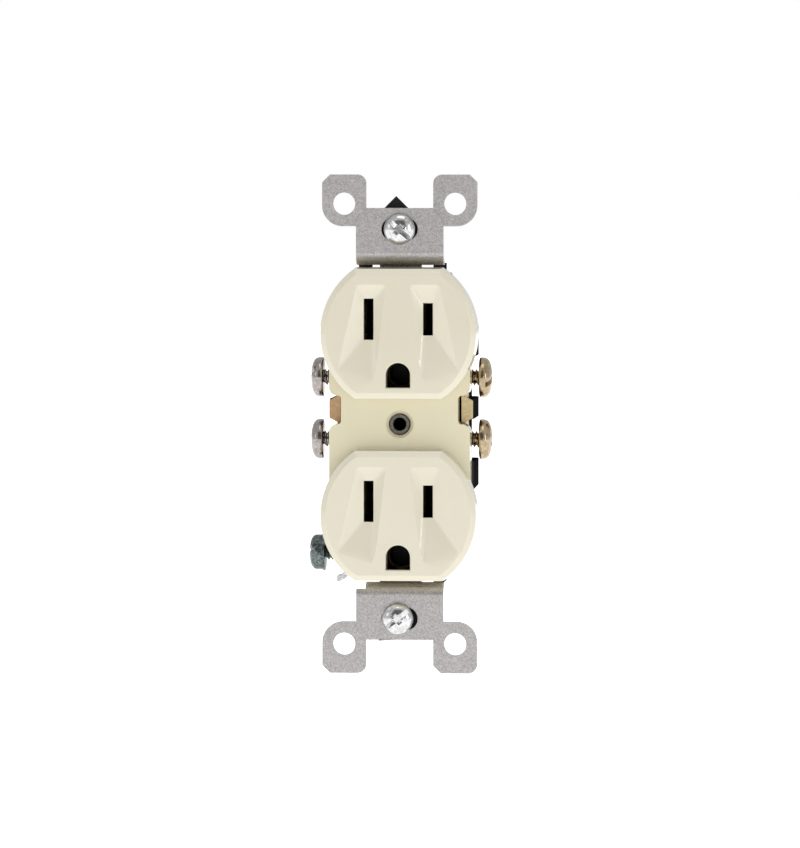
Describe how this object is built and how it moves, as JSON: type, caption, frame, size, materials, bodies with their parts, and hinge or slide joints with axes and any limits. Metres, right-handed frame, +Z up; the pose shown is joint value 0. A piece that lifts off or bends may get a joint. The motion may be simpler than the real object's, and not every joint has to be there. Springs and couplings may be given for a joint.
{
  "type": "duplex wall outlet",
  "caption": "Grounded duplex wall outlet: ivory cover with two faces on a black housing, bent steel strap with break-off ears, side terminal screws, ground screw and inner contacts",
  "frame": {"origin": "centre of the wall plate screw hole, on the wall plane that the backs of the ears rest against", "axes": "+Z up along the strap, +X to the right seen from the front, the faces look along -Y and the housing runs back along +Y"},
  "size_m": [0.0392, 0.027, 0.1068],
  "materials": {
    "cover": "smooth moulded ivory plastic",
    "housing": "moulded black thermoset",
    "strap": "galvanised sheet with fine speckle",
    "silver_screw": "nickel plated",
    "brass_screw": "bright brass plated",
    "ground_screw": "green tinted zinc",
    "zinc_screw": "bright zinc plated",
    "retainer": "black fibre sheet",
    "contact_brass": "bare brass strip",
    "contact_copper": "tan copper alloy strip",
    "spring_steel": "spring steel",
    "rivet": "plain rivet"
  },
  "bodies": {
    "outlet": {"face_cover": "cover", "rear_housing": "housing", "mounting_strap": "strap", "hot_contact_strip": "contact_brass", "neutral_contact_strip": "contact_copper", "hot_wire_clip_upper": "spring_steel", "hot_wire_clip_lower": "spring_steel", "neutral_wire_clip_upper": "spring_steel", "neutral_wire_clip_lower": "spring_steel", "ground_contact_upper": "contact_brass", "ground_contact_lower": "contact_brass", "ground_contact_rivets": "rivet", "assembly_screws": "zinc_screw"},
    "silver_screw_upper_body": {"silver_screw_upper": "silver_screw"},
    "silver_screw_lower_body": {"silver_screw_lower": "silver_screw"},
    "brass_screw_upper_body": {"brass_screw_upper": "brass_screw"},
    "brass_screw_lower_body": {"brass_screw_lower": "brass_screw"},
    "ground_screw_body": {"ground_screw": "ground_screw"},
    "retainer_upper_body": {"screw_retainer_upper": "retainer"},
    "mounting_screw_upper_body": {"mounting_screw_upper": "zinc_screw"},
    "retainer_lower_body": {"screw_retainer_lower": "retainer"},
    "mounting_screw_lower_body": {"mounting_screw_lower": "zinc_screw"}
  },
  "joints": [
    {"name": "silver_screw_upper_travel", "type": "slide", "parent": "outlet", "child": "silver_screw_upper_body", "axis": [1, 0, 0], "range_m": [-0.0008, 0.0028]},
    {"name": "silver_screw_lower_travel", "type": "slide", "parent": "outlet", "child": "silver_screw_lower_body", "axis": [1, 0, 0], "range_m": [-0.0008, 0.0028]},
    {"name": "brass_screw_upper_travel", "type": "slide", "parent": "outlet", "child": "brass_screw_upper_body", "axis": [-1, 0, 0], "range_m": [-0.0008, 0.0025]},
    {"name": "brass_screw_lower_travel", "type": "slide", "parent": "outlet", "child": "brass_screw_lower_body", "axis": [-1, 0, 0], "range_m": [-0.0008, 0.0025]},
    {"name": "ground_screw_travel", "type": "slide", "parent": "outlet", "child": "ground_screw_body", "axis": [1, 0, 0], "range_m": [-0.0008, 0.0034]},
    {"name": "retainer_upper_travel", "type": "slide", "parent": "outlet", "child": "retainer_upper_body", "axis": [0, -1, 0], "range_m": [0, 0.0016]},
    {"name": "mounting_screw_upper_turn", "type": "hinge", "parent": "retainer_upper_body", "child": "mounting_screw_upper_body", "pos_m": [0, 0, 0.04167], "axis": [0, 1, 0], "continuous": true},
    {"name": "retainer_lower_travel", "type": "slide", "parent": "outlet", "child": "retainer_lower_body", "axis": [0, -1, 0], "range_m": [0, 0.0016]},
    {"name": "mounting_screw_lower_turn", "type": "hinge", "parent": "retainer_lower_body", "child": "mounting_screw_lower_body", "pos_m": [-0.0004, 0, -0.04167], "axis": [0, 1, 0], "continuous": true}
  ]
}
